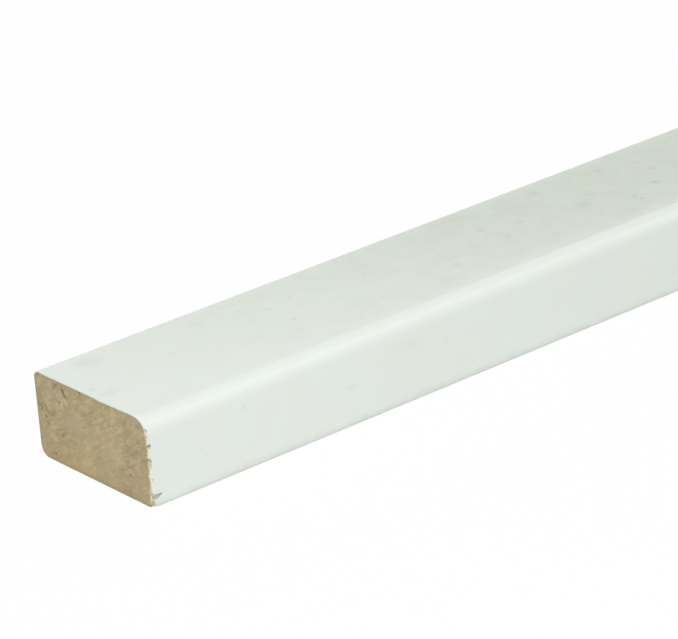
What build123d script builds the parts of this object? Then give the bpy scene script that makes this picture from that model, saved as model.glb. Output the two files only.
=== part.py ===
# A length of glazing bead: a rectangular strip of fibreboard with a white finish,
# one generously rounded arris where its two visible faces meet, and three eased ones.
# It lies on its wide unfinished face. X runs along the bead, Y across it from the
# room side (-Y) to the glass side (+Y), and Z is up. The origin is at the middle of
# the underside.
import os

from build123d import *

os.makedirs("parts", exist_ok=True)

# Stock sizes, in millimetres.
length = 2400.0
width = 20.0
height = 10.0

# The four arrises, each with a radius of its own.
show_arris_radius = 2.4
back_top_radius = 0.8
back_bottom_radius = 1.3
front_bottom_radius = 0.5

half_length = length / 2
room_side = -width / 2
glass_side = width / 2


def rounded_section():
    """The bead's cross-section, drawn in the plane of its sawn end at -X."""
    with BuildSketch(Plane.YZ.offset(-half_length)) as section:
        with BuildLine():
            underside = Line(
                (room_side + front_bottom_radius, 0),
                (glass_side - back_bottom_radius, 0),
            )
            back_bottom = TangentArc(
                underside @ 1,
                (glass_side, back_bottom_radius),
                tangent=(1, 0),
            )
            glass_face = Line(back_bottom @ 1, (glass_side, height - back_top_radius))
            back_top = TangentArc(
                glass_face @ 1,
                (glass_side - back_top_radius, height),
                tangent=(0, 1),
            )
            sight_face = Line(back_top @ 1, (room_side + show_arris_radius, height))
            show_arris = TangentArc(
                sight_face @ 1,
                (room_side, height - show_arris_radius),
                tangent=(-1, 0),
            )
            room_face = Line(show_arris @ 1, (room_side, front_bottom_radius))
            TangentArc(
                room_face @ 1,
                underside @ 0,
                tangent=(0, -1),
            )
        make_face()
    return section.sketch


# The whole stick is the section run from one square saw cut to the other.
glazing_bead = extrude(rounded_section(), amount=length, dir=(1, 0, 0))
glazing_bead.label = "glazing_bead"

export_step(glazing_bead, "parts/glazing_bead.step")
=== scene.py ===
import bpy
import bmesh
import math
from mathutils import Euler, Matrix, Vector, kdtree, noise


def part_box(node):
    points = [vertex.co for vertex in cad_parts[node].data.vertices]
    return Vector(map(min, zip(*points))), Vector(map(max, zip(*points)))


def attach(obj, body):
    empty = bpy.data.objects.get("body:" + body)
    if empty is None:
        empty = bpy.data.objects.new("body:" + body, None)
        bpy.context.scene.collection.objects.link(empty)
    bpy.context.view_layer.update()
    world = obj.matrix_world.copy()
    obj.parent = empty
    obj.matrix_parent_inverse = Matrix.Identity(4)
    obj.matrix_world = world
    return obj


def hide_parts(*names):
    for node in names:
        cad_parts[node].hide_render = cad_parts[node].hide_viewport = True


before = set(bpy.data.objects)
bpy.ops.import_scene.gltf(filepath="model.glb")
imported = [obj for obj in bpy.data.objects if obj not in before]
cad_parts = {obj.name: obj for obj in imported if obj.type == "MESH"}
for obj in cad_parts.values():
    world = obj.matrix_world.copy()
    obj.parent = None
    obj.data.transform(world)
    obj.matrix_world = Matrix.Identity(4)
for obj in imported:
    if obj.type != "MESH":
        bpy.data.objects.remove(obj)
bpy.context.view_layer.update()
low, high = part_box("glazing_bead")
mm = 0.001
print("frame loaded:", sorted(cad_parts))


# selecting and cutting

def selectOnly(thing):
    bpy.ops.object.select_all(action="DESELECT")
    thing.select_set(True)
    bpy.context.view_layer.objects.active = thing


def pickEdges(thing, wanted):
    bpy.ops.mesh.select_mode(type="EDGE")
    bpy.ops.mesh.select_all(action="DESELECT")
    shape = bmesh.from_edit_mesh(thing.data)
    for edge in shape.edges:
        edge.select_set(wanted(edge))
    bmesh.update_edit_mesh(thing.data)


def cutThrough(places, axis):
    # axis is 0, 1 or 2 for cuts square to x, y or z
    facing = Vector((0, 0, 0))
    facing[axis] = 1
    for place in places:
        bpy.ops.mesh.select_all(action="SELECT")
        bpy.ops.mesh.bisect(plane_co=facing * place, plane_no=facing, threshold=1e-7)


# the stick: a bar with four rounded edges, cut fine where the saw went through

stick = {
    "showArris": 2.4 * mm,  # where the two finished faces meet
    "backTop": 0.8 * mm,
    "backBottom": 1.3 * mm,
    "frontBottom": 0.5 * mm,
    "arrisSteps": 14,
    "edgeSteps": 6,
    "rimCuts": [0.06 * mm, 0.12 * mm, 0.19 * mm, 0.27 * mm, 0.36 * mm, 0.47 * mm],
    "gridCut": 0.125 * mm,
    "denseLength": 2.6 * mm,  # close rings behind the near saw cut
    "ringGrowth": 1.35,  # each further ring is this much longer than the last
    "farGrowth": 2,
    "longestRing": 110 * mm,
    "sawnFacing": 0.9,  # a face that points further along the bead than this is sawn
    "smoothBelow": 50,  # degrees
}


def gridCuts(start, end):
    rim = stick["rimCuts"]
    inner = end - start - 2 * rim[-1]
    count = round(inner / stick["gridCut"])
    evenly = [start + rim[-1] + inner * i / count for i in range(1, count)]
    return [start + r for r in rim] + evenly + [end - r for r in rim]


def ringCuts():
    # close together behind each cut, then further and further apart
    length = high.x - low.x
    nearPlaces = list(stick["rimCuts"])
    while nearPlaces[-1] < stick["denseLength"]:
        nearPlaces.append(nearPlaces[-1] + stick["gridCut"])
    step = stick["gridCut"]
    while nearPlaces[-1] < length / 2:
        step = min(step * stick["ringGrowth"], stick["longestRing"])
        nearPlaces.append(nearPlaces[-1] + step)
    farPlaces = list(stick["rimCuts"])
    step = stick["gridCut"]
    while farPlaces[-1] < length - nearPlaces[-1] - stick["longestRing"]:
        step = min(step * stick["farGrowth"], stick["longestRing"])
        farPlaces.append(farPlaces[-1] + step)
    return [low.x + p for p in nearPlaces] + [high.x - p for p in farPlaces]


def isSawn(face):
    return abs(face.normal.x) > stick["sawnFacing"]


def makeStick():
    bpy.ops.object.select_all(action="DESELECT")
    bpy.ops.mesh.primitive_cube_add(size=1, location=(low + high) / 2, scale=high - low)
    bead = bpy.context.object
    bead.name = bead.data.name = "bead"
    bpy.ops.object.transform_apply(location=True, rotation=True, scale=True)
    bpy.ops.object.mode_set(mode="EDIT")
    corners = [
        (low.y, high.z, "showArris", "arrisSteps"),
        (high.y, high.z, "backTop", "edgeSteps"),
        (high.y, low.z, "backBottom", "edgeSteps"),
        (low.y, low.z, "frontBottom", "edgeSteps"),
    ]
    for y, z, radius, steps in corners:
        def onCorner(edge):
            ends = [v.co for v in edge.verts]
            return all(abs(e.y - y) < 1e-6 and abs(e.z - z) < 1e-6 for e in ends)
        pickEdges(bead, onCorner)
        bpy.ops.mesh.bevel(offset=stick[radius], segments=stick[steps], profile=0.5, affect="EDGES")
    cutThrough(ringCuts(), 0)
    cutThrough(gridCuts(low.y, high.y), 1)
    cutThrough(gridCuts(low.z, high.z), 2)
    bpy.ops.object.mode_set(mode="OBJECT")
    print("stick cut:", len(bead.data.vertices), "vertices,", len(bead.data.polygons), "faces")
    return bead


# how the saw left the two ends: the finish is torn along the cut, on the front and the top

tearing = {
    "frontWidth": 0.18,  # widths in mm at the sharp edge of the cut
    "topWidth": 0.11,
    "coarse": 0.07,  # how much the width wanders, and over what size
    "coarseSize": 1.3,
    "fine": 0.05,
    "fineSize": 0.38,
    # width lost for each mm from the sharp edge, over the sawn face and along the finish
    "onSawn": 0.42,
    "onSawnTop": 1.3,
    "onFinish": 1.2,
    "onFinishTop": 0.8,
    "onFinishLow": 5.0,
    "lift": 0.35,  # how far a torn place goes in, as a share of how far inside the strip it is
    "reach": 2.4,  # nothing further from a cut than this is touched
    "faceEdge": (0.5, 0.9),  # how squarely a place faces the front or the top: not at all, fully
    "lowPart": (4.8, 4.0),  # the front tear changes its kind between these heights
    "lowSpread": (0.12, 0.18),  # and reaches this much further over the sawn face
    "lowSpreadPart": (3.3, 3.8),
    "wideTop": (-2.4, 2.2, 0.10),  # the top tear is wider here: y, half length and extra width
    "wideTopEnd": 0.3,
    "nearSeed": 3.1,
    "farSeed": 17.3,
    # how brown the strip is, as a place on the torn colours from 0 to 1
    "frontTone": 0.22,
    "lowTone": -0.10,
    "topTone": 0.12,
    "toneWobble": 0.08,
    "sawnTone": 0.26,  # added low on the sawn side, this far past the edge
    "sawnTonePast": -0.25,
    "sawnTonePart": (3.9, 3.3),
    "cornerReach": 1.0,  # the lower front corner of the near cut is worn a little
    "cornerLift": 0.17,
    "cornerWay": (0.25, 0.25, 1),
    "chipsFrom": -9.3,  # chips stay where the outline faces the front, or in front of this y,
    "chipsInside": 1.5,  # and no deeper inside the outline than this
    "chipRim": 0.04,  # the finish is torn this far round a chip
    "chipSlope": 0.14,  # a chip is at its full depth this far from its edge
    "chipWobble": 0.05,
    "chipBeside": 0.35,  # a chip also moves the other side of the edge, up to this far from it
    # chips along the front edge of the near cut: start, end, half widths, depth and brownness;
    # each place is the distance past the sharp edge, below 0 on the sawn face, and the height
    "chips": [
        (0.02, 1.26, 0.50, 1.38, 0.27, 0.27, 0.10, 0.53),
        (0.50, 1.38, 1.02, 1.46, 0.26, 0.14, 0.10, 0.59),
        (-0.42, 1.42, -0.10, 1.56, 0.14, 0.11, -0.03, 0.91),
        (-0.10, 1.56, 0.12, 1.70, 0.12, 0.11, -0.03, 1.00),
        (0.10, 1.72, 0.42, 1.84, 0.11, 0.08, -0.03, 0.02),
        (-0.50, 1.70, -0.16, 1.74, 0.11, 0.09, 0.05, 0.50),
        (-0.56, 1.02, -0.50, 1.30, 0.16, 0.13, -0.03, 0.92),
        (-0.52, 0.85, -0.50, 0.36, 0.19, 0.16, 0.03, 0.89),
        (-0.20, 0.80, -0.14, 0.25, 0.09, 0.11, 0.10, 0.64),
        (0.04, 0.80, 0.04, 0.25, 0.10, 0.10, 0.03, 0.42),
        (-0.60, 0.02, 0.20, 0.06, 0.22, 0.16, 0.10, 0.46),
        (-0.24, 7.12, 0.16, 7.25, 0.12, 0.13, 0.12, 0.74),
        (-0.58, 5.66, 0.02, 5.49, 0.12, 0.13, 0.12, 0.72),
        (-0.34, 5.20, -0.44, 4.42, 0.16, 0.12, 0.00, 0.90),
        (-0.03, 5.30, 0.02, 4.80, 0.11, 0.09, 0.03, 0.48),
        (-0.12, 8.93, 0.06, 8.88, 0.11, 0.12, 0.08, 0.56),
        (-0.42, 8.30, -0.24, 8.26, 0.08, 0.08, 0.03, 0.66),
        (0.02, 3.42, 0.10, 3.35, 0.13, 0.11, 0.03, 0.42),
    ],
}


def insideDepth(y, z):
    # how far a point lies inside the rounded outline, and which way is out
    across = y - (low.y + high.y) / 2
    up = z - (low.z + high.z) / 2
    if across < 0:
        radius = stick["showArris"] if up > 0 else stick["frontBottom"]
    else:
        radius = stick["backTop"] if up > 0 else stick["backBottom"]
    overY = abs(across) - (high.y - low.y) / 2 + radius
    overZ = abs(up) - (high.z - low.z) / 2 + radius
    signY = math.copysign(1, across)
    signZ = math.copysign(1, up)
    if overY > 0 and overZ > 0:
        reach = math.hypot(overY, overZ)
        return radius - reach, Vector((0, signY * overY / reach, signZ * overZ / reach))
    if overY > overZ:
        return radius - overY, Vector((0, signY, 0))
    return radius - overZ, Vector((0, 0, signZ))


def ramp(value, start, end):
    share = min(max((value - start) / (end - start), 0), 1)
    return share * share * (3 - 2 * share)


def tearAt(past, y, z, outward, endSeed):
    # how far inside the torn strip a place is, in mm, and how brown the strip is there
    front = ramp(-outward.y, *tearing["faceEdge"])
    top = ramp(outward.z, *tearing["faceEdge"])
    facing = max(front, top)
    lowPart = ramp(z, *tearing["lowPart"])
    spot = Vector((y, z, endSeed))
    coarse = noise.noise(spot / tearing["coarseSize"])
    fine = noise.noise(spot / tearing["fineSize"] + Vector((4.7, 1.3, 2.9)))
    width = tearing["frontWidth"] * front + tearing["topWidth"] * top
    width += (tearing["coarse"] * coarse + tearing["fine"] * fine) * facing
    wideY, wideHalf, extra = tearing["wideTop"]
    width += top * extra * ramp(abs(y - wideY), wideHalf, tearing["wideTopEnd"])
    if past < 0:
        least, more = tearing["lowSpread"]
        slope = tearing["onSawnTop"] + (tearing["onSawn"] - tearing["onSawnTop"]) * front
        slope *= 1 - front * lowPart * (least + more * ramp(z, *tearing["lowSpreadPart"]))
    else:
        onFront = tearing["onFinish"] + (tearing["onFinishLow"] - tearing["onFinish"]) * lowPart
        slope = tearing["onFinishTop"] + (onFront - tearing["onFinishTop"]) * front
    tone = front * (tearing["frontTone"] + tearing["lowTone"] * lowPart)
    tone += top * tearing["topTone"] + tearing["toneWobble"] * noise.noise(spot / 0.5)
    if past < tearing["sawnTonePast"]:
        tone += tearing["sawnTone"] * front * ramp(z, *tearing["sawnTonePart"])
    return (width if facing > 0 else -1.0) - abs(past) * slope, tone


def chipAt(past, z):
    # how far inside the deepest chip this place along the front edge is, with its depth and tone
    best = (-1.0, 0.0, 0.0)
    here = Vector((past, z))
    wobble = tearing["chipWobble"] * noise.noise(Vector((past, z, 8.0)) / 0.3)
    for startPast, startZ, endPast, endZ, startHalf, endHalf, depth, tone in tearing["chips"]:
        start = Vector((startPast, startZ))
        run = Vector((endPast, endZ)) - start
        share = min(max((here - start).dot(run) / run.length_squared, 0), 1)
        half = startHalf + (endHalf - startHalf) * share
        inside = half + wobble - (here - start - run * share).length
        if inside > best[0]:
            best = (inside, depth * ramp(inside, 0, tearing["chipSlope"]), tone)
    return best


def chipMove(past, deep, into, outward):
    # into the end on the sawn side, in from the face on the finish side, and some of both between
    beside = max(1 - abs(past) / tearing["chipBeside"], 0)
    intoShare = 1 if past <= 0 else beside
    outShare = 1 if past >= 0 else beside
    return (into * intoShare - outward * outShare) * deep


def markTears(bead):
    # records for each point how torn it is, how deep inside the outline and how brown,
    # and returns the moves that are made after the relief
    fields = {"torn": [], "skin": [], "tone": []}
    moves = []
    for vertex in bead.data.vertices:
        x, y, z = vertex.co
        nearEnd = x < (low.x + high.x) / 2
        fromCut = (x - low.x if nearEnd else high.x - x) / mm
        depth, outward = insideDepth(y, z)
        depth = max(depth / mm, 0)
        if fromCut > tearing["reach"]:
            fields["torn"].append(-1.0)
            fields["skin"].append(0.0)
            fields["tone"].append(0.0)
            continue
        into = Vector((1 if nearEnd else -1, 0, 0))
        past = fromCut - depth
        seed = tearing["nearSeed" if nearEnd else "farSeed"]
        torn, tone = tearAt(past, y / mm, z / mm, outward, seed)
        move = (into - outward) * max(torn, 0) * tearing["lift"]
        onFront = outward.y < -0.5 or y / mm < tearing["chipsFrom"]
        if nearEnd and onFront and depth < tearing["chipsInside"]:
            inside, deep, chipTone = chipAt(past, z / mm)
            if inside > -tearing["chipRim"]:
                torn = max(torn, inside + tearing["chipRim"])
                tone = chipTone
            move += chipMove(past, deep, into, outward)
        if nearEnd:
            fromCorner = math.hypot(fromCut, (y - low.y) / mm, z / mm)
            worn = ramp(fromCorner, tearing["cornerReach"], 0)
            move += Vector(tearing["cornerWay"]) * worn * tearing["cornerLift"]
        fields["torn"].append(max(torn, -1.0))
        fields["skin"].append(depth)
        fields["tone"].append(min(max(tone, 0), 1))
        moves.append((vertex.index, move * mm))
    for name, values in fields.items():
        layer = bead.data.attributes.new(name, "FLOAT", "POINT")
        layer.data.foreach_set("value", values)
    print("tears marked at both cuts")
    return moves


# relief of the sawn board: fine fibres on both ends, then splits and pits on the near one

board = {
    # size, lift, turn and stretch of each pass of relief
    "relief": {
        "fibres": (0.42 * mm, 0.070 * mm, -0.55, (1, 3.6, 0.7)),
        "crossing": (0.36 * mm, 0.045 * mm, -1.1, (1, 3.0, 0.7)),
        "lumps": (1.7 * mm, 0.05 * mm, 0, (1, 1, 1)),
    },
    "reliefRise": (0.08, 0.35),  # mm inside the outline where the relief starts and is full
    "faceDepth": 0.4 * mm,  # points within this of the near end belong to the sawn face
    # lines and pits on the near end, y and z in mm, then half width and depth (raised below 0)
    "splits": [
        ([(5.28, 9.35), (5.08, 9.02)], 0.10, 0.10),
        ([(5.04, 8.96), (4.72, 8.50)], 0.18, 0.22),
        ([(4.60, 8.40), (4.34, 8.10)], 0.08, 0.10),
        ([(4.24, 8.00), (4.05, 7.75), (3.95, 7.4)], 0.07, 0.07),
        ([(4.72, 8.22), (4.42, 7.90)], 0.08, -0.10),
        ([(9.42, 5.40), (9.12, 5.85)], 0.11, 0.12),
        ([(8.78, 4.90), (8.45, 5.00)], 0.11, 0.13),
        ([(8.90, 4.62), (8.20, 4.72)], 0.07, -0.06),
        ([(8.30, 5.98), (8.12, 5.68), (7.80, 5.50)], 0.11, 0.12),
        ([(7.62, 0.74), (7.25, 0.98)], 0.10, 0.13),
        ([(-7.6, 5.9), (-7.95, 6.5)], 0.07, 0.08),
        ([(-8.3, 3.9), (-7.9, 4.15)], 0.09, 0.05),
        ([(-3.3, 0.5), (-4.1, 0.95), (-4.9, 1.7)], 0.06, -0.07),
        ([(0.6, 4.45), (-0.2, 4.6)], 0.06, -0.06),
        ([(-1.3, 4.2), (-2.3, 4.7)], 0.06, -0.05),
        ([(-4.1, 4.75), (-5.0, 5.25)], 0.06, -0.06),
        ([(-3.0, 5.9), (-3.4, 6.8)], 0.06, -0.05),
        ([(5.9, 5.6), (5.1, 6.6)], 0.07, -0.05),
    ],
    "pits": [
        ((5.88, 7.35), 0.15, 0.17),
        ((9.62, 6.10), 0.13, 0.10),
        ((9.30, 4.92), 0.11, 0.10),
        ((8.47, 6.20), 0.12, 0.08),
        ((1.9, 9.66), 0.15, 0.16),
        ((5.7, 3.5), 0.16, 0.12),
        ((2.9, 7.5), 0.12, 0.11),
        ((-6.1, 2.7), 0.12, 0.16),
        ((-6.9, 4.0), 0.14, 0.11),
        ((1.7, 5.75), 0.14, 0.10),
        ((8.2, 4.2), 0.18, 0.10),
        ((6.3, 9.3), 0.20, 0.10),
        ((-8.4, 5.6), 0.11, 0.12),
        ((-2.4, 3.3), 0.10, 0.09),
        ((0.3, 1.9), 0.10, 0.08),
        ((4.3, 6.0), 0.14, 0.08),
        ((-4.6, 7.9), 0.11, 0.08),
        ((4.4, 7.75), 0.24, -0.10),
        ((5.3, 7.2), 0.22, -0.07),
    ],
    "softEdge": 0.16 * mm,  # how far the points round a line or pit go with it
}


def liftFibres(bead):
    skin = [point.value for point in bead.data.attributes["skin"].data]
    group = bead.vertex_groups.new(name="sawn")
    for index, depth in enumerate(skin):
        share = ramp(depth, *board["reliefRise"])
        if share > 0:
            group.add([index], share, "REPLACE")
    for name, (size, lift, turn, stretch) in board["relief"].items():
        bpy.ops.object.empty_add(location=(low.x, 0, 0), rotation=(turn, 0, 0))
        guide = bpy.context.object
        guide.scale = stretch
        pattern = bpy.data.textures.new(name, "CLOUDS")
        pattern.noise_scale = size
        pattern.noise_depth = 2
        displace = bead.modifiers.new(name, "DISPLACE")
        displace.texture = pattern
        displace.texture_coords = "OBJECT"
        displace.texture_coords_object = guide
        displace.direction = "X"
        displace.strength = lift
        displace.mid_level = 0.5
        displace.vertex_group = "sawn"
        selectOnly(bead)
        bpy.ops.object.modifier_apply(modifier=name)
        selectOnly(guide)
        bpy.ops.object.delete()
        bpy.data.textures.remove(pattern)
    bead.vertex_groups.clear()
    print("fibres raised on both ends")


def pressIn(bead, path, width, depth):
    # selects the sawn face within the width of the path and pushes it in
    bpy.ops.mesh.select_all(action="DESELECT")
    shape = bmesh.from_edit_mesh(bead.data)
    points = [Vector(point) for point in path]
    runs = list(zip(points, points[1:])) or [(points[0], points[0])]
    for vertex in shape.verts:
        if vertex.co.x > low.x + board["faceDepth"]:
            continue
        spot = Vector((vertex.co.y, vertex.co.z)) / mm
        for start, end in runs:
            run = end - start
            share = (spot - start).dot(run) / max(run.length_squared, 1e-9)
            nearest = start + run * min(max(share, 0), 1)
            if (spot - nearest).length < width:
                vertex.select_set(True)
    bmesh.update_edit_mesh(bead.data)
    bpy.ops.transform.translate(
        value=(depth * mm, 0, 0),
        use_proportional_edit=True,
        proportional_edit_falloff="SMOOTH",
        proportional_size=board["softEdge"],
    )


def markNearEnd(bead):
    # makes the splits and pits, and records how deep each point went
    before = [vertex.co.x for vertex in bead.data.vertices]
    selectOnly(bead)
    bpy.ops.object.mode_set(mode="EDIT")
    bpy.ops.mesh.select_mode(type="VERT")
    for path, width, depth in board["splits"]:
        pressIn(bead, path, width, depth)
    for pit, width, depth in board["pits"]:
        pressIn(bead, [pit], width, depth)
    bpy.ops.object.mode_set(mode="OBJECT")
    creased = [(vertex.co.x - was) / mm for vertex, was in zip(bead.data.vertices, before)]
    bead.data.attributes.new("creased", "FLOAT", "POINT").data.foreach_set("value", creased)
    print("near end marked")


# the bake map: most of it goes to the near end and the stretch behind it

mapLayout = {
    "nearStretch": 112,  # mm of the long faces that get the most room
    "nearTop": 0.60,
    "farStretch": 5,
    "farStart": 0.685,
    "farTop": 0.71,
    "aroundShare": 0.995,
    "nearEnd": (0.01, 0.725, 27.0),  # left, bottom, widths of the map for one metre
    "farEnd": (0.58, 0.725, 20.0),
}


def alongPlace(x):
    # height on the map of a place on the long faces, x in mm from the near end
    length = (high.x - low.x) / mm
    if x < mapLayout["nearStretch"]:
        return x / mapLayout["nearStretch"] * mapLayout["nearTop"]
    if x < length - mapLayout["farStretch"]:
        share = x - mapLayout["nearStretch"]
        share /= length - mapLayout["farStretch"] - mapLayout["nearStretch"]
        return mapLayout["nearTop"] + share * (mapLayout["farStart"] - mapLayout["nearTop"])
    share = (x - length + mapLayout["farStretch"]) / mapLayout["farStretch"]
    return mapLayout["farStart"] + share * (mapLayout["farTop"] - mapLayout["farStart"])


def walkOutline(mesh):
    # the outline's points, and how far round each is, from the middle of the underside
    middle = (low.z + high.z) / 2
    ring = [v.co for v in mesh.vertices if abs(v.co.x - low.x) < 1e-6]
    ring = [p for p in ring if insideDepth(p.y, p.z)[0] < 0.02 * mm]
    ring.sort(key=lambda p: math.atan2(p.y, p.z - middle))
    walked = [0.0]
    for a, b in zip(ring, ring[1:]):
        walked.append(walked[-1] + (b - a).length)
    around = walked[-1] + (ring[0] - ring[-1]).length
    tree = kdtree.KDTree(len(ring))
    for index, point in enumerate(ring):
        tree.insert((0, point.y, point.z), index)
    tree.balance()
    return tree, [distance / around for distance in walked]


def layMap(bead):
    mesh = bead.data
    layer = mesh.uv_layers.new(name="OFBake")
    tree, shares = walkOutline(mesh)
    for face in mesh.polygons:
        corners = [mesh.vertices[v].co for v in face.vertices]
        if isSawn(face):
            left, bottom, scale = mapLayout["nearEnd" if face.center.x < 0 else "farEnd"]
            uvs = [(left + (c.y - low.y) * scale, bottom + (c.z - low.z) * scale) for c in corners]
        else:
            spans = [shares[tree.find((0, c.y, c.z))[1]] for c in corners]
            if max(spans) - min(spans) > 0.5:
                spans = [s + 1 if s < 0.5 else s for s in spans]
            across = [span * mapLayout["aroundShare"] for span in spans]
            uvs = [(u, alongPlace((c.x - low.x) / mm)) for u, c in zip(across, corners)]
        for loop, uv in zip(face.loop_indices, uvs):
            layer.data[loop].uv = uv
    print("bake map laid")


# sums on sockets, written as plain sums

class Wire:
    def __init__(self, paint, socket):
        self.paint = paint
        self.socket = socket

    def maths(self, operation, *values):
        return self.paint.node("Math", {"operation": operation}, dict(enumerate(values)))

    def __add__(self, other):
        return self.maths("ADD", self, other)

    def __radd__(self, other):
        return self.maths("ADD", other, self)

    def __sub__(self, other):
        return self.maths("SUBTRACT", self, other)

    def __rsub__(self, other):
        return self.maths("SUBTRACT", other, self)

    def __mul__(self, other):
        return self.maths("MULTIPLY", self, other)

    def __rmul__(self, other):
        return self.maths("MULTIPLY", other, self)

    def orMore(self, other):
        return self.maths("MAXIMUM", self, other)

    def step(self, start, end):
        # 0 at start and 1 at end, eased
        settings = {"interpolation_type": "SMOOTHSTEP"}
        return self.paint.node("MapRange", settings, {0: self, 1: start, 2: end})


class Paint:
    # the nodes of a material or a world
    def __init__(self, owner):
        self.owner = owner
        owner.use_nodes = True
        self.tree = owner.node_tree
        self.tree.nodes.clear()

    def node(self, kind, settings=None, sockets=None, out=0):
        # adds a node, and returns the wire from its output number out
        made = self.tree.nodes.new("ShaderNode" + kind)
        for name, value in (settings or {}).items():
            if name == "stops":
                elements = made.color_ramp.elements
                while len(elements) < len(value):
                    elements.new(1)
                for element, (position, colour) in zip(elements, value):
                    element.position = position
                    element.color = (*colour, 1)
            else:
                setattr(made, name, value)
        for key, value in (sockets or {}).items():
            if isinstance(value, Wire):
                self.tree.links.new(value.socket, made.inputs[key])
            else:
                made.inputs[key].default_value = value
        return Wire(self, made.outputs[out]) if made.outputs else None

    def place(self):
        # object coordinates in mm
        spot = self.node("TexCoord", out=3)
        return self.node("VectorMath", {"operation": "SCALE"}, {0: spot, "Scale": 1 / mm})

    def partsOf(self, place):
        return [self.node("SeparateXYZ", {}, {0: place}, out=axis) for axis in range(3)]

    def stretched(self, place, turn, stretch):
        sockets = {"Vector": place, "Rotation": turn, "Scale": stretch}
        return self.node("Mapping", {"vector_type": "TEXTURE"}, sockets)

    def noise(self, place, scale, detail=2.0, roughness=0.5, distortion=0.0):
        return self.node("TexNoise", {}, {
            "Vector": place,
            "Scale": scale,
            "Detail": detail,
            "Roughness": roughness,
            "Distortion": distortion,
        })

    def blend(self, share, first, second):
        return self.node("Mix", {"data_type": "RGBA"}, {0: share, 6: first, 7: second}, out=2)

    def spot(self, place, centre, reach, wobble):
        # a soft patch round a place, 1 in its middle
        away = self.node("VectorMath", {"operation": "SUBTRACT"}, {0: place, 1: centre})
        away = self.node("VectorMath", {"operation": "DIVIDE"}, {0: away, 1: reach})
        away = self.node("VectorMath", {"operation": "LENGTH"}, {0: away}, out=1)
        return (away + wobble).step(1.3, 0.2)

    def field(self, name):
        # a number kept for each point of the mesh
        return self.node("Attribute", {"attribute_name": name}, out=2)

    def finish(self, sockets):
        shader = self.node("BsdfPrincipled", {}, sockets)
        self.node("OutputMaterial", {}, {"Surface": shader})
        return self.owner


def rgb(red, green, blue):
    return (red, green, blue, 1)


# bare board, as the saw left it

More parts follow.
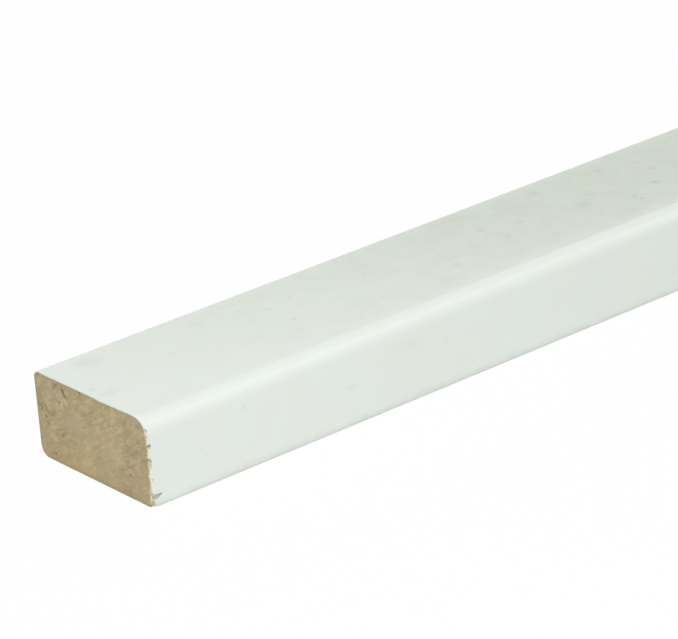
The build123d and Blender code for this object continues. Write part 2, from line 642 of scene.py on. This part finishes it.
boardPaint = {
    "dark": (0.262, 0.200, 0.104),
    "middle": (0.413, 0.333, 0.193),
    "light": (0.570, 0.480, 0.300),
    "pink": rgb(0.470, 0.335, 0.212),
    "green": rgb(0.385, 0.360, 0.165),
    "orange": rgb(0.490, 0.362, 0.168),
    "lilac": rgb(0.375, 0.308, 0.222),
    "rust": rgb(0.330, 0.205, 0.110),
    "pale": rgb(0.570, 0.500, 0.315),
    "shade": rgb(0.235, 0.192, 0.110),
    "slate": rgb(0.180, 0.180, 0.160),
    "ash": rgb(0.395, 0.335, 0.212),
    # colours of the painted shadow just inside the outline of the sawn face, plain and greener
    "rim": rgb(0.318, 0.292, 0.190),
    "rimShadowGreen": rgb(0.318, 0.312, 0.205),
    # colour of the dark specks, and of the painted shade in the splits and pits
    "hollow": rgb(0.185, 0.148, 0.078),
    "torn": [
        (0.00, (0.850, 0.825, 0.710)),
        (0.10, (0.745, 0.765, 0.660)),
        (0.24, (0.745, 0.725, 0.610)),
        (0.42, (0.600, 0.595, 0.465)),
        (0.60, (0.460, 0.432, 0.340)),
        (0.74, (0.325, 0.305, 0.235)),
        (0.90, (0.640, 0.550, 0.405)),
        (1.00, (0.770, 0.670, 0.530)),
    ],
    # runs of fibres: turn about x, stretch, scale, roughness and distortion
    "fibres": [
        (-0.55, (1, 4.6, 0.75), 1.9, 0.62, 0.35),
        (-0.15, (1, 3.8, 0.7), 2.7, 0.6, 0.3),
        (-1.05, (1, 4.0, 0.7), 2.4, 0.6, 0.4),
    ],
    "weights": (0.9, 0.6, 0.6, 0.3),  # shares of the three runs and the grain in the height
    "evenHeight": 1.2,  # the height where every noise is at its middle
    "fibreContrast": 0.66,
    "clumpContrast": 0.42,
    "broadContrast": 0.45,
    "pinkShare": 0.16,
    "greenShare": 0.26,
    "speckShare": 0.35,
    "rimShadowShare": 0.7,
    "greenShadowFrom": (8.2, 9.2),  # mm up, where the painted shadow along the rim turns greener
    # strength of the painted shade in the splits and pits
    "pressedShadeShare": 0.6,
    "raisedShare": 0.4,
    "roughness": 0.9,
    "shine": 0.25,
    "bumpHeight": 0.06 * mm,
    # patches on the near end: y, z, half width and half height in mm, colour, strength
    "patches": [
        (2.4, 1.9, 3.3, 1.6, "orange", 0.36),
        (3.0, 6.0, 2.6, 1.9, "ash", 0.50),
        (-7.6, 2.4, 1.5, 2.0, "lilac", 0.50),
        (-7.6, 5.6, 0.9, 1.6, "lilac", 0.30),
        (7.5, 5.55, 0.9, 0.32, "rust", 0.36),
        (-6.6, 7.9, 1.0, 0.6, "rust", 0.22),
        (-7.3, 9.1, 0.8, 0.35, "pink", 0.30),
        (6.9, 8.5, 0.9, 0.6, "lilac", 0.38),
        (7.9, 1.8, 1.3, 0.4, "pink", 0.28),
        (-2.7, 5.7, 1.4, 1.5, "pink", 0.16),
        (8.9, 9.2, 0.6, 0.35, "orange", 0.36),
        (-8.6, 3.0, 0.5, 0.7, "orange", 0.26),
        (-1.9, 9.1, 1.4, 0.5, "orange", 0.20),
        (-4.9, 9.0, 1.1, 0.6, "green", 0.42),
        (-3.9, 4.4, 0.6, 0.7, "green", 0.30),
        (8.4, 3.5, 1.1, 0.9, "green", 0.32),
        (-1.0, 0.6, 1.3, 0.45, "green", 0.48),
        (5.2, 0.6, 1.6, 0.4, "green", 0.38),
        (-7.9, 0.6, 0.9, 0.4, "green", 0.42),
        (9.1, 8.2, 0.6, 0.6, "green", 0.35),
        (5.5, 2.0, 0.7, 0.6, "pale", 0.30),
        (4.45, 7.8, 0.5, 0.4, "pale", 0.46),
        (5.3, 7.1, 0.5, 0.6, "pale", 0.22),
        (-6.5, 8.0, 3.2, 1.3, "shade", 0.19),
        (-1.0, 8.3, 1.6, 1.2, "shade", 0.16),
        (3.0, 7.9, 1.2, 0.9, "shade", 0.13),
        (-3.2, 9.2, 0.9, 0.6, "shade", 0.12),
        (-7.0, 3.6, 1.0, 1.0, "shade", 0.22),
        (2.2, 2.9, 1.9, 1.3, "shade", 0.08),
        (-2.8, 1.7, 2.2, 1.4, "pale", 0.20),
        (-1.2, 3.5, 0.9, 0.5, "pale", 0.25),
        (-3.4, 4.6, 1.8, 2.4, "pale", 0.18),
        (6.2, 9.25, 0.9, 0.5, "shade", 0.42),
        (8.2, 4.4, 0.9, 0.4, "shade", 0.20),
        (8.7, 6.2, 0.9, 0.8, "shade", 0.30),
        (5.7, 3.5, 0.5, 0.4, "shade", 0.30),
        (-8.2, 5.9, 0.6, 1.2, "shade", 0.30),
        (-8.3, 4.0, 0.6, 0.5, "shade", 0.22),
        (9.65, 6.0, 0.35, 3.6, "slate", 0.22),
        # painted shadow of the finish's edge at the upper back corner
        (9.60, 9.65, 0.70, 0.45, "slate", 0.85),
        (-3.4, 9.65, 0.45, 0.22, "slate", 0.50),
        (0.2, 9.70, 0.35, 0.18, "slate", 0.40),
        (1.9, 9.70, 0.40, 0.22, "slate", 0.45),
        (-8.6, 8.9, 0.7, 0.5, "slate", 0.26),
        (-9.2, 8.2, 0.4, 0.5, "slate", 0.22),
    ],
}


def boardLook(paint, place):
    # the colour and height of the board's fibres, which lie mostly one way
    runs = []
    for turn, stretch, scale, roughness, distortion in boardPaint["fibres"]:
        laid = paint.stretched(place, (turn, 0, 0), stretch)
        runs.append(paint.noise(laid, scale, 3, roughness, distortion))
    grain = paint.noise(place, 5.5, 2, 0.55)
    parts = [run * weight for run, weight in zip(runs + [grain], boardPaint["weights"])]
    height = parts[0] + parts[1] + parts[2] + parts[3]
    clumps = paint.noise(place, 0.8, 2, 0.5, 0.3)
    broad = paint.noise(place, 0.3, 1)
    shade = 0.5 + (height - boardPaint["evenHeight"]) * boardPaint["fibreContrast"]
    shade = shade + (clumps - 0.5) * boardPaint["clumpContrast"]
    shade = shade + (broad - 0.5) * boardPaint["broadContrast"]
    stops = [(0.14, boardPaint["dark"]), (0.5, boardPaint["middle"]), (0.86, boardPaint["light"])]
    colour = paint.node("ValToRGB", {"stops": stops}, {0: shade})
    pink = paint.noise(place, 0.6, 2).step(0.5, 0.68)
    green = paint.noise(place, 0.5, 2, 0.5, 0.6).step(0.52, 0.72)
    colour = paint.blend(pink * boardPaint["pinkShare"], colour, boardPaint["pink"])
    colour = paint.blend(green * boardPaint["greenShare"], colour, boardPaint["green"])
    wobble = (clumps - 0.5) * 1.6 + (runs[0] - 0.5) * 1.2
    for y, z, wide, tall, name, strength in boardPaint["patches"]:
        mask = paint.spot(place, (low.x / mm, y, z), (3, wide, tall), wobble)
        colour = paint.blend(mask * strength, colour, boardPaint[name])
    return colour, height


def tornLook(paint, place):
    # where the finish is torn away, and the colour under it
    ragged = paint.noise(place, 3.4, 2) - 0.5
    torn = (paint.field("torn") + ragged * 0.12).step(-0.06, 0.07)
    fuzz = paint.noise(place, 4.2, 3, 0.6)
    share = paint.field("tone") + (fuzz - 0.5) * 0.3
    return torn, paint.node("ValToRGB", {"stops": boardPaint["torn"]}, {0: share})


def makeBoardPaint():
    paint = Paint(bpy.data.materials.new("sawnBoard"))
    place = paint.place()
    colour, height = boardLook(paint, place)
    # a few dark specks
    specks = paint.node("TexVoronoi", {"feature": "F1"}, {"Vector": place, "Scale": 1.15})
    chosen = paint.noise(place, 0.8, 0).step(0.5, 0.6)
    dark = (1 - specks.step(0.06, 0.15)) * chosen
    colour = paint.blend(dark * boardPaint["speckShare"], colour, boardPaint["hollow"])
    # painted shadow of the finish's edge just inside the outline, greener along the top
    rim = (paint.field("skin") + (height - boardPaint["evenHeight"]) * 0.35).step(0.55, 0.1)
    upperRimShadow = paint.partsOf(place)[2].step(*boardPaint["greenShadowFrom"])
    rimShadowColour = paint.blend(upperRimShadow, boardPaint["rim"], boardPaint["rimShadowGreen"])
    colour = paint.blend(rim * boardPaint["rimShadowShare"], colour, rimShadowColour)
    # painted shade in the splits and pits, and raised fibres paler
    pressedShade = paint.field("creased").step(0.02, 0.14) * boardPaint["pressedShadeShare"]
    raised = paint.field("creased").step(-0.02, -0.07) * boardPaint["raisedShare"]
    colour = paint.blend(pressedShade, colour, boardPaint["hollow"])
    colour = paint.blend(raised, colour, boardPaint["pale"])
    torn, under = tornLook(paint, place)
    colour = paint.blend(torn, colour, under)
    depth = boardPaint["bumpHeight"]
    bump = paint.node("Bump", {}, {"Strength": 0.4, "Distance": depth, "Height": height})
    return paint.finish({
        "Base Color": colour,
        "Roughness": boardPaint["roughness"],
        "Specular IOR Level": boardPaint["shine"],
        "Normal": bump,
    })


# the white finish on the four long faces

coatPaint = {
    "white": rgb(0.786, 0.834, 0.780),
    "warm": rgb(0.790, 0.824, 0.758),
    "cool": rgb(0.772, 0.826, 0.786),
    # tints of the painted shade on the upper face: the first over all of it, the second along it
    "topShadeTint": rgb(0.700, 0.733, 0.686),
    "dull": rgb(0.548, 0.612, 0.490),
    # grime darkens the real marks and mottling, and also gives the painted shade along the edges and the
    # arris
    "grimeAndShade": rgb(0.420, 0.460, 0.420),
    "yellowed": rgb(0.720, 0.807, 0.647),
    "whiteShare": 0.6,
    "gloss": 0.30,
    "cloudGloss": 0.08,
    "tornGloss": 0.45,
    "bumpHeight": 0.02 * mm,
    "upperFace": (9.94, 9.995),  # heights where the upper face takes over from its rounded edges
    # painted shade all over the upper face, and less of it at the back
    "topShade": 0.20,
    "topShadeLost": 0.14,
    "topShadeBack": (3, 9),
    # heavier painted shade from the near cut on, as the light falls off along the bead, that thins again
    # past the first 105 mm
    "paintedShade": 0.59,
    "shadeRun": (4, 94),
    "shadeBeyond": (105, 600),
    "shadeLost": 0.6,
    "backShade": (0.02, 0.04),
    "backShadeRun": (2.0, 10.5),
    "arrisShadeLeft": 0.2,
    "arrisShadeRun": (-10, -4.6),
    "backEdgeLost": 0.3,
    "backEdgeRun": (7.0, 9.6),
    "mottle": (0.035, 0.12),  # near the cut, and what is added far from it
    "cloudShare": 0.03,
    # painted shade along the lower edges: its strength, and the heights over which it fades in
    "lowShadeShare": 0.24,
    "lowShadeRun": (1.2, 0.1),
    # bands of painted shade along the arris on show, narrowing its highlight: the heights and the y between
    # which each fades in
    "arrisBands": [
        ((9.62, 9.35), (8.95, 9.2), (-8.5, -9.0), 0.06),
        ((7.5, 8.1), (9.4, 8.5), (-9.2, -9.7), 0.08),
    ],
    # faint stains and marks: place from the near end in mm, half length, half width, strength
    "stains": [
        (20.0, 3.8, 10, 12.0, 5.0, 0.18),
        (27.0, 2.6, 10, 24.0, 9.5, 0.17),
        (38.0, -0.6, 10, 9.0, 3.0, 0.10),
    ],
    "marks": [
        (5.1, 6.9, 10, 1.9, 1.6, 0.15),
        (1.2, 0.9, 10, 0.7, 0.5, 0.24),
        (2.0, -1.1, 10, 1.5, 1.0, 0.15),
        (19.2, 6.2, 10, 1.2, 1.4, 0.08),
        (24.5, 5.6, 10, 0.4, 0.6, 0.15),
        (27.0, 3.7, 10, 0.5, 0.7, 0.14),
        (27.3, -0.6, 10, 0.4, 0.4, 0.24),
        (30.7, 4.4, 10, 0.4, 0.3, 0.20),
        (49.3, -2.7, 10, 0.8, 0.8, 0.17),
        (54.3, 0.4, 10, 1.0, 0.9, 0.12),
        (57.9, 3.1, 10, 0.7, 0.8, 0.20),
        (57.5, 7.9, 10, 3.2, 1.4, 0.14),
        (58.6, -0.9, 10, 0.7, 0.7, 0.16),
        (62.5, 1.4, 10, 0.5, 0.4, 0.30),
        (64.6, 3.2, 10, 0.9, 0.8, 0.14),
        (69.6, 6.8, 10, 0.6, 0.7, 0.22),
        (71.1, -0.3, 10, 1.1, 0.9, 0.26),
        (73.6, 1.6, 10, 0.8, 0.7, 0.16),
        (76.6, -2.9, 10, 0.5, 0.5, 0.34),
        (76.7, -4.1, 10, 0.4, 0.5, 0.34),
        (79.6, 6.4, 10, 0.6, 0.9, 0.26),
        (81.2, -1.4, 10, 0.6, 0.5, 0.62),
        (84.3, 4.8, 10, 0.5, 0.6, 0.28),
        (84.2, 2.0, 10, 0.6, 0.7, 0.24),
        (12.5, -10, 7.4, 0.4, 0.4, 0.16),
        (26.9, -10, 4.8, 0.8, 0.4, 0.09),
        (35.0, -10, 7.0, 3.0, 0.9, 0.07),
        (40.8, -10, 5.8, 0.5, 0.4, 0.10),
        (6.6, -10, 4.4, 0.3, 0.2, 0.10),
    ],
}


def makeCoatPaint():
    paint = Paint(bpy.data.materials.new("whiteLacquer"))
    place = paint.place()
    lengthwise, across, up = paint.partsOf(place)
    along = lengthwise - low.x / mm
    tint = paint.noise(place, 0.11, 2)
    cloud = paint.noise(place, 0.35, 3, 0.6)
    patchy = paint.noise(place, 0.46, 4, 0.62)
    fine = paint.noise(place, 2.2, 2)
    colour = paint.blend(tint.step(0.35, 0.65), coatPaint["warm"], coatPaint["cool"])
    colour = paint.blend(coatPaint["whiteShare"], colour, coatPaint["white"])
    # painted shade on the upper face, more of it away from the near cut as the light falls off
    upperFace = up.step(*coatPaint["upperFace"])
    topShade = coatPaint["topShade"] - across.step(*coatPaint["topShadeBack"]) * coatPaint["topShadeLost"]
    colour = paint.blend(upperFace * topShade, colour, coatPaint["topShadeTint"])
    further = (along + (across + 8) * 0.9 + (cloud - 0.5) * 26).step(*coatPaint["shadeRun"])
    further = further * (1 - along.step(*coatPaint["shadeBeyond"]) * coatPaint["shadeLost"])
    back = (across + (patchy - 0.5) * 6).step(*coatPaint["backShadeRun"])
    nearBack, farBack = coatPaint["backShade"]
    paintedShade = further * coatPaint["paintedShade"] + back * (nearBack + further * farBack)
    # the painted shade is mostly kept off the lit arris, and some of it off the back edge
    left = coatPaint["arrisShadeLeft"]
    paintedShade = paintedShade * (left + across.step(*coatPaint["arrisShadeRun"]) * (1 - left))
    paintedShade = paintedShade * (1 - across.step(*coatPaint["backEdgeRun"]) * coatPaint["backEdgeLost"])
    colour = paint.blend(paintedShade * upperFace, colour, coatPaint["dull"])
    nearMottle, farMottle = coatPaint["mottle"]
    mottled = (patchy + (fine - 0.5) * 0.2).step(0.40, 0.75) * (nearMottle + further * farMottle)
    colour = paint.blend(mottled * upperFace, colour, coatPaint["grimeAndShade"])
    # painted shade along the lower edges, beside the floor
    lowShade = (up + (patchy - 0.5) * 1.2).step(*coatPaint["lowShadeRun"])
    colour = paint.blend(lowShade * coatPaint["lowShadeShare"], colour, coatPaint["grimeAndShade"])
    # and painted shade on the middle and lower half of the arris on show, which narrows its highlight
    for firstHeights, secondHeights, inward, strength in coatPaint["arrisBands"]:
        shadeBand = up.step(*firstHeights) * up.step(*secondHeights) * across.step(*inward)
        colour = paint.blend(shadeBand * strength, colour, coatPaint["grimeAndShade"])
    colour = paint.blend(cloud.step(0.5, 0.8) * coatPaint["cloudShare"], colour, coatPaint["grimeAndShade"])
    wobble = (fine - 0.5) * 1.5 + (patchy - 0.5) * 0.8
    for kind, dirt in (("stains", "yellowed"), ("marks", "grimeAndShade")):
        for x, y, z, long, wide, strength in coatPaint[kind]:
            mark = paint.spot(place, (low.x / mm + x, y, z), (long, wide, wide), wobble)
            colour = paint.blend(mark * strength, colour, coatPaint[dirt])
    torn, under = tornLook(paint, place)
    colour = paint.blend(torn, colour, under)
    height = paint.noise(place, 1.4, 2) * 0.6 + fine * 0.25
    depth = coatPaint["bumpHeight"]
    bump = paint.node("Bump", {}, {"Strength": 0.12, "Distance": depth, "Height": height})
    roughness = coatPaint["gloss"] + torn * coatPaint["tornGloss"] + (cloud - 0.5) * coatPaint["cloudGloss"]
    return paint.finish({"Base Color": colour, "Roughness": roughness, "Normal": bump})


# studio: floor, world, lamps and camera

studio = {
    "floorSize": 12,
    "floorGap": 0.02 * mm,
    "floorColour": rgb(0.93, 0.93, 0.93),
    "floorGlow": 0.97,  # share of plain white that the camera sees over the floor's own shading
    "white": rgb(1, 1, 1),
    "worldLight": 0.415,
    "lamps": {
        # place and aim in m, size along the bead and across it, watts
        "highStrip": ((0, -0.36, 0.72), (0, 0, 0), (4.4, 0.16), 7.3),
        "overhead": ((0, -0.10, 0.80), (0, -0.10, 0), (4.4, 1.20), 2.6),
        "nearAccent": ((-1.23, -0.12, 0.15), (-1.19, 0, 0), (0.06, 0.06), 0.075),
        "nearFill": ((-2.1, 0.15, 0.12), (-1.2, 0, 0), (0.18, 0.18), 2.10),
        "farFill": ((2.1, 0.15, 0.12), (1.2, 0, 0), (0.18, 0.18), 2.10),
    },
}


def seenOnly(paint):
    # 1 where a ray comes from the camera, from a mirroring face or through a clear one
    camera = paint.node("LightPath", out=0)
    glossy = paint.node("LightPath", out=3)
    through = paint.node("LightPath", out=6)
    return camera.orMore(glossy).orMore(through)


def makeFloor():
    place = (0, 0, low.z - studio["floorGap"])
    bpy.ops.mesh.primitive_plane_add(size=studio["floorSize"], location=place)
    floor = bpy.context.object
    floor.name = floor.data.name = "floor"
    paint = Paint(bpy.data.materials.new("paleFloor"))
    plain = paint.node("BsdfDiffuse", {}, {"Color": studio["floorColour"]})
    glow = paint.node("Emission", {}, {"Color": studio["white"], "Strength": 1.0})
    share = seenOnly(paint) * studio["floorGlow"]
    mixed = paint.node("MixShader", {}, {0: share, 1: plain, 2: glow})
    paint.node("OutputMaterial", {}, {"Surface": mixed})
    floor.data.materials.append(paint.owner)


def makeWorld():
    paint = Paint(bpy.data.worlds.new("studioWorld"))
    light = paint.node("Background", {}, {"Color": studio["white"], "Strength": studio["worldLight"]})
    backdrop = paint.node("Background", {}, {"Color": studio["white"], "Strength": 1.0})
    mixed = paint.node("MixShader", {}, {0: seenOnly(paint), 1: light, 2: backdrop})
    paint.node("OutputWorld", {}, {"Surface": mixed})
    bpy.context.scene.world = paint.owner


def makeLamps():
    for name, (place, aim, size, watts) in studio["lamps"].items():
        bpy.ops.object.light_add(type="AREA", location=place)
        lamp = bpy.context.object
        lamp.name = lamp.data.name = name
        lamp.data.shape = "RECTANGLE"
        lamp.data.size, lamp.data.size_y = size
        lamp.data.energy = watts
        way = Vector(aim) - lamp.location
        lamp.rotation_euler = way.to_track_quat("-Z", "Y").to_euler()
        lamp.visible_camera = False


photoView = {
    "fromNearEnd": (-0.19974, -0.29613, 0.16810),  # m, from the middle of the near end's underside
    "heading": 51.7160,  # degrees from +X towards +Y
    "downward": 23.0550,
    "roll": -4.2465,
    "lens": 197.73,
}


def makeCamera():
    bpy.ops.object.camera_add(location=Vector((low.x, 0, low.z)) + Vector(photoView["fromNearEnd"]))
    camera = bpy.context.object
    camera.name = camera.data.name = "photoCamera"
    tilt = math.radians(90 - photoView["downward"])
    level = Euler((tilt, 0, math.radians(photoView["heading"] - 90))).to_matrix()
    turned = level @ Matrix.Rotation(math.radians(photoView["roll"]), 3, "Z")
    camera.rotation_euler = turned.to_euler()
    camera.data.lens = photoView["lens"]
    camera.data.clip_start = 0.01
    bpy.context.scene.camera = camera


# the bead: the relief and the marks are made on the plain stick, and then its ends are torn

bead = makeStick()
bead.data.materials.append(makeCoatPaint())
bead.data.materials.append(makeBoardPaint())
for face in bead.data.polygons:
    face.material_index = int(isSawn(face))
layMap(bead)
moves = markTears(bead)
liftFibres(bead)
markNearEnd(bead)
for index, move in moves:
    bead.data.vertices[index].co += move
print("finish torn at both cuts")
selectOnly(bead)
bpy.ops.object.shade_smooth_by_angle(angle=math.radians(stick["smoothBelow"]))
print("bead shaped and painted")
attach(bead, "root")
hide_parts("glazing_bead")

makeFloor()
makeWorld()
makeLamps()
makeCamera()
bpy.context.scene.view_settings.view_transform = "Standard"
print("studio set")
